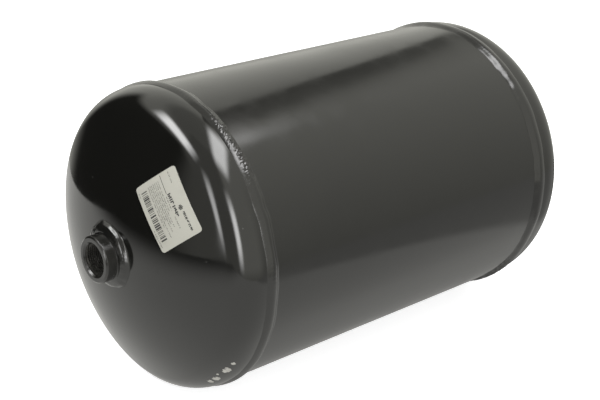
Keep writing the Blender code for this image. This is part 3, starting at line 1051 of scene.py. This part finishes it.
def square(low, high, level):
    """The corners and the one face of a rectangle at a level."""
    corners = [low, (high[0], low[1]), high, (low[0], high[1])]
    return np.array([(x, y, level) for x, y in corners]), np.array([[0, 1, 2, 3]])


def make_floor():
    """The floor that the camera sees, and a light table at its level that shows in the paint."""
    corners, face = square((-FLOOR_REACH, -FLOOR_REACH), (FLOOR_REACH, FLOOR_REACH), FLOOR_Z)
    floor = new_object("floor", corners, face, floor_material())
    floor.visible_glossy = False
    floor.visible_diffuse = False
    floor.visible_shadow = False
    corners, face = square(TABLE_LOW, TABLE_HIGH, FLOOR_Z - 0.1 * MM)
    table = new_object("light_table", corners, face, table_material())
    table.visible_camera = False


def floor_material():
    """A matt floor that glows, so that only a faint shadow shows on it."""
    material, tree, shader, places = new_material("floor_paint")
    set_surface(tree, shader, tree.mix(tree.noise(places, 80 * MM, 3), *FLOOR_TONES), 0.8)
    shader.inputs["Specular IOR Level"].default_value = 0.1
    shader.inputs["Emission Color"].default_value = (1, 1, 1, 1)
    shader.inputs["Emission Strength"].default_value = FLOOR_GLOW
    return material


def table_material():
    """The light table's glow: weaker under the tank as a painted shadow of the tank, far in front of
    it and past a slanting edge.
    """
    material, tree, shader, places = new_material("table_glow")
    parts = tree.node("ShaderNodeSeparateXYZ")
    tree.feed(parts.inputs[0], places)
    x, y = parts.outputs[:2]
    beside = tree.math("ABSOLUTE", x)
    # painted shadow: the glow is halved under the tank, where the tank's own shadow would fall
    painted_tank_shadow = tree.times(tree.ramp(beside, 0.12, 0.04), tree.ramp(y, -0.17, -0.11))
    level = tree.ramp(painted_tank_shadow, 0, 1, 1.0, 0.5, smooth=False)
    level = tree.times(level, tree.ramp(y, -0.68, -0.36, 0.1, 1.0))
    slant = tree.dot(places, (0.76, 0.65, 0))
    level = tree.times(level, tree.ramp(slant, 0.228, 0.268, 1.0, 0.62))
    shader.inputs["Base Color"].default_value = (0, 0, 0, 1)
    shader.inputs["Specular IOR Level"].default_value = 0
    shader.inputs["Emission Color"].default_value = (1, 0.995, 0.95, 1)
    tree.feed(shader.inputs["Emission Strength"], tree.times(level, TABLE_GLOW))
    return material


def make_camera():
    """The photograph's viewpoint."""
    camera = bpy.data.cameras.new("camera")
    camera.lens = CAMERA_LENS
    camera.sensor_width = CAMERA_SENSOR
    obj = bpy.data.objects.new("camera", camera)
    obj.location = CAMERA_AT
    obj.rotation_euler = (math.pi / 2 - CAMERA_ELEVATION, 0, CAMERA_AZIMUTH)
    bpy.context.scene.collection.objects.link(obj)
    bpy.context.scene.camera = obj


def main():
    make_camera()
    make_surroundings()
    for softbox in SOFTBOXES:
        add_softbox(*softbox)
    make_floor()

    shell_paint = paint_material("shell_paint", 0.006 * MM, (0.1, 0.2))
    head_paint = paint_material("head_paint", 0.004 * MM, (0.06, 0.12), chips=True)
    weld_paint = weld_material()
    boss_paint = boss_material()
    steel = thread_material()
    ink = ink_material()

    make_shell(shell_paint)
    make_seam_weld(weld_paint)
    ends = (  # name, width of its bead, land, apex, frame and random seed
        ("front", FRONT_BEAD, FRONT_LAND, FRONT_APEX, FRONT_FRAME, 31),
        ("rear", REAR_BEAD, REAR_LAND, REAR_APEX, REAR_FRAME, 51),
    )
    for end, bead, land, apex, matrix, seed in ends:
        make_head(end + "_head", bead, land, matrix, head_paint, seed)
        make_girth_weld(end + "_girth_weld", bead, matrix, weld_paint, seed + 1)
        make_boss(end + "_port_boss", apex + HEAD_BOSS_PROUD, matrix, boss_paint, steel)
        make_port_weld(end + "_port_weld", apex, head_drop, matrix, weld_paint, seed + 7)
    make_boss("drain_port_boss", SHELL_RADIUS + DRAIN_BOSS_PROUD, DRAIN_FRAME, boss_paint, steel)
    make_port_weld("drain_port_weld", SHELL_RADIUS, shell_drop, DRAIN_FRAME, weld_paint, 71)
    make_label(paper_material(), ink)
    make_rating_plate(plate_material(), ink)

    bpy.context.scene.view_settings.view_transform = "Standard"


main()
